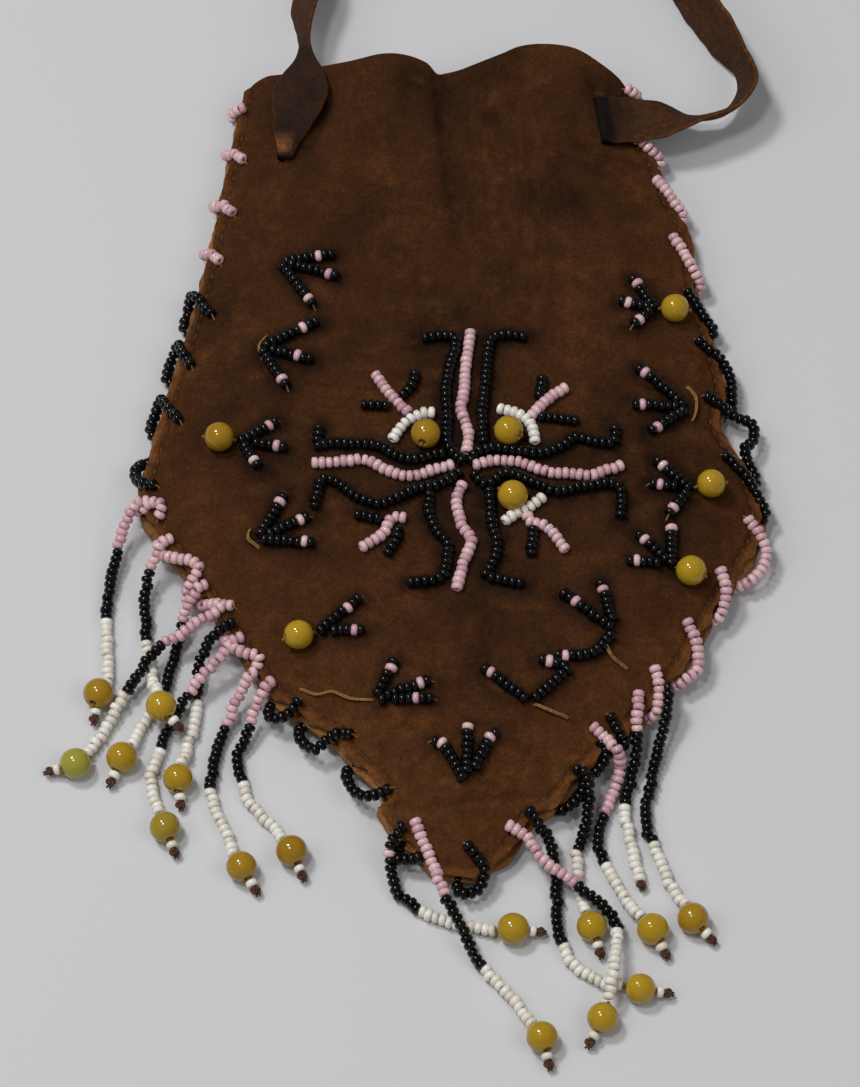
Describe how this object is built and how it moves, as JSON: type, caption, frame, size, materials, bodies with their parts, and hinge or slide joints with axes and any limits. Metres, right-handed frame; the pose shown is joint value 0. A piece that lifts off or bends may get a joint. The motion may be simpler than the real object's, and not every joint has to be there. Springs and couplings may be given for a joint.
{
  "type": "beaded leather purse",
  "caption": "Flat pointed leather pouch, open at the top, with bead embroidery, beaded edges, beaded fringe and a flat leather thong for a strap.",
  "frame": {"origin": "under the middle of the back panel, on the surface that the purse rests on", "axes": "+X to the purse's right as it lies face up, +Y towards its mouth, +Z out of its front"},
  "size_m": [0.1507, 0.3006, 0.0164],
  "materials": {
    "leather": "suede, brown",
    "thong": "smooth grain, dark brown",
    "thread": "golden tan sewing thread",
    "pink_beads": "opaque gloss",
    "black_beads": "opaque gloss",
    "white_beads": "opaque gloss",
    "yellow_beads": "slightly cloudy gloss"
  },
  "bodies": {
    "root": {"front_panel": "leather", "back_panel": "leather", "seam_stitching": "thread", "strap_inner_run": "thong", "cross_black_outline": "black_beads", "cross_pink_arm_top": "pink_beads", "cross_pink_arm_left": "pink_beads", "cross_pink_arm_right": "pink_beads", "cross_pink_arm_bottom": "pink_beads", "spray_upper_left": "pink_beads", "spray_upper_right": "pink_beads", "spray_lower_right": "pink_beads", "spray_lower_left": "pink_beads", "track_left_1": "black_beads", "track_left_2": "black_beads", "track_left_3": "black_beads", "track_left_4": "black_beads", "track_left_5": "black_beads", "track_left_6": "black_beads", "track_tip": "black_beads", "track_right_1": "black_beads", "track_right_2": "black_beads", "track_right_3": "black_beads", "track_right_4": "black_beads", "track_right_5": "black_beads", "track_right_6": "black_beads", "track_left_3_yellow_bead": "yellow_beads", "track_left_5_yellow_bead": "yellow_beads", "track_right_1_yellow_bead": "yellow_beads", "track_right_3_yellow_bead": "yellow_beads", "track_right_4_yellow_bead": "yellow_beads", "cross_yellow_bead_upper_left": "yellow_beads", "cross_yellow_bead_upper_right": "yellow_beads", "cross_yellow_bead_lower_right": "yellow_beads", "edge_beads_left_upper": "pink_beads", "edge_beads_left_middle": "black_beads", "edge_beads_left_corner": "pink_beads", "edge_beads_left_lower": "black_beads", "edge_beads_right_upper": "pink_beads", "edge_beads_right_middle": "black_beads", "edge_beads_right_lower": "pink_beads", "edge_beads_right_tip": "black_beads", "edge_beads_tip": "black_beads"},
    "strap": {"strap": "thong"},
    "fringe_left_corner": {"fringe_left_1": "white_beads"},
    "fringe_left_middle": {"fringe_left_2": "white_beads", "fringe_left_3": "white_beads", "fringe_left_4": "white_beads", "fringe_left_5": "white_beads", "fringe_left_6": "white_beads"},
    "fringe_left_lower": {"fringe_left_7": "white_beads", "fringe_left_8": "white_beads"},
    "fringe_tip": {"fringe_right_1": "white_beads", "fringe_right_2": "white_beads"},
    "fringe_right_tip": {"fringe_right_3": "white_beads", "fringe_right_4": "white_beads", "fringe_right_5": "white_beads"},
    "fringe_right_middle": {"fringe_right_6": "white_beads", "fringe_right_7": "white_beads", "fringe_right_8": "white_beads"}
  },
  "joints": [
    {"name": "strap_swing", "type": "hinge", "parent": "root", "child": "strap", "pos_m": [0.00175, 0.0687, 0.0104], "axis": [1, 0, 0], "range_deg": [0, 150]},
    {"name": "fringe_left_corner_lift", "type": "hinge", "parent": "root", "child": "fringe_left_corner", "pos_m": [-0.05751, -0.015, 0.00752], "axis": [-0.3228, 0.9465, 0], "range_deg": [0, 80]},
    {"name": "fringe_left_middle_lift", "type": "hinge", "parent": "root", "child": "fringe_left_middle", "pos_m": [-0.04851, -0.033, 0.00712], "axis": [-0.5045, 0.8634, 0], "range_deg": [0, 45]},
    {"name": "fringe_left_lower_lift", "type": "hinge", "parent": "root", "child": "fringe_left_lower", "pos_m": [-0.03782, -0.053, 0.00697], "axis": [-1, 0, 0], "range_deg": [0, 75]},
    {"name": "fringe_tip_lift", "type": "hinge", "parent": "root", "child": "fringe_tip", "pos_m": [-0.0062, -0.087, 0.00837], "axis": [-1, 0, 0], "range_deg": [0, 75]},
    {"name": "fringe_right_tip_lift", "type": "hinge", "parent": "root", "child": "fringe_right_tip", "pos_m": [0.01364, -0.0815, 0.00785], "axis": [-0.7043, -0.7099, 0], "range_deg": [0, 40]},
    {"name": "fringe_right_middle_lift", "type": "hinge", "parent": "root", "child": "fringe_right_middle", "pos_m": [0.031, -0.0625, 0.00815], "axis": [-0.7481, -0.6636, 0], "range_deg": [0, 60]}
  ]
}
